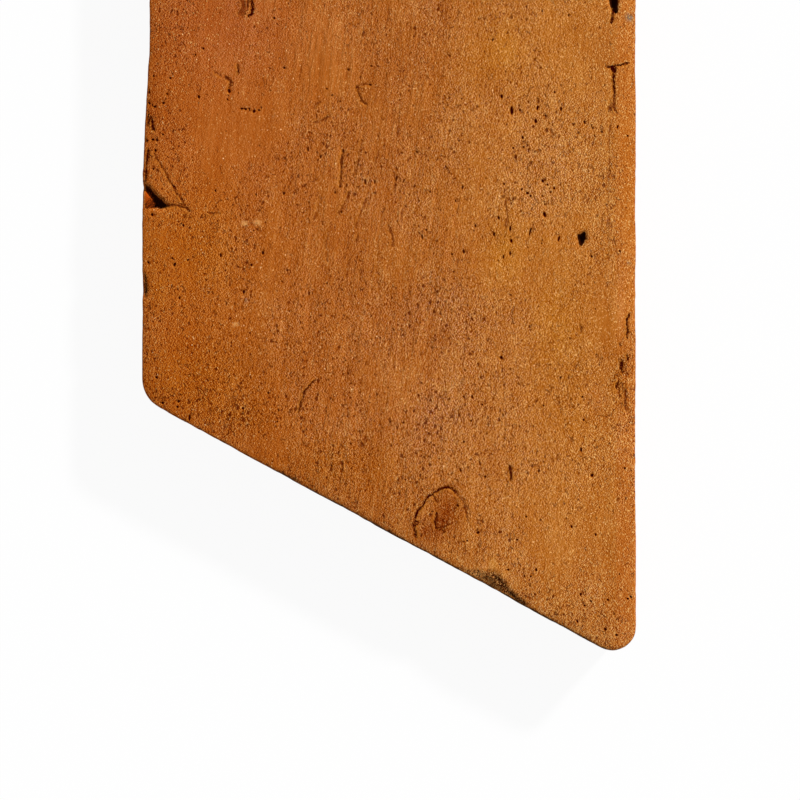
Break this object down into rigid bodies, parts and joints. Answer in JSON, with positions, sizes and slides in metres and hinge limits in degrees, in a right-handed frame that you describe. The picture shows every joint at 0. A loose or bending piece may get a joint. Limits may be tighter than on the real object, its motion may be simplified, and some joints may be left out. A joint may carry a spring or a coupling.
{
  "type": "terracotta chevron floor tile",
  "caption": "Handmade terracotta plank tile: a parallelogram with mitred ends, rounded corners, a rolled lip and chipped edges, laid in a zigzag floor.",
  "frame": {"origin": "on the bedding face, under the middle of the tile's bounding box", "axes": "+X across the tile towards its rolled lip, +Y along the long sides, +Z out of the wearing face"},
  "size_m": [0.1, 0.347, 0.02],
  "materials": {
    "terracotta": "unglazed and matt, sandy, with drag marks and pores"
  },
  "bodies": {
    "root": {"tile": "terracotta"}
  },
  "joints": []
}
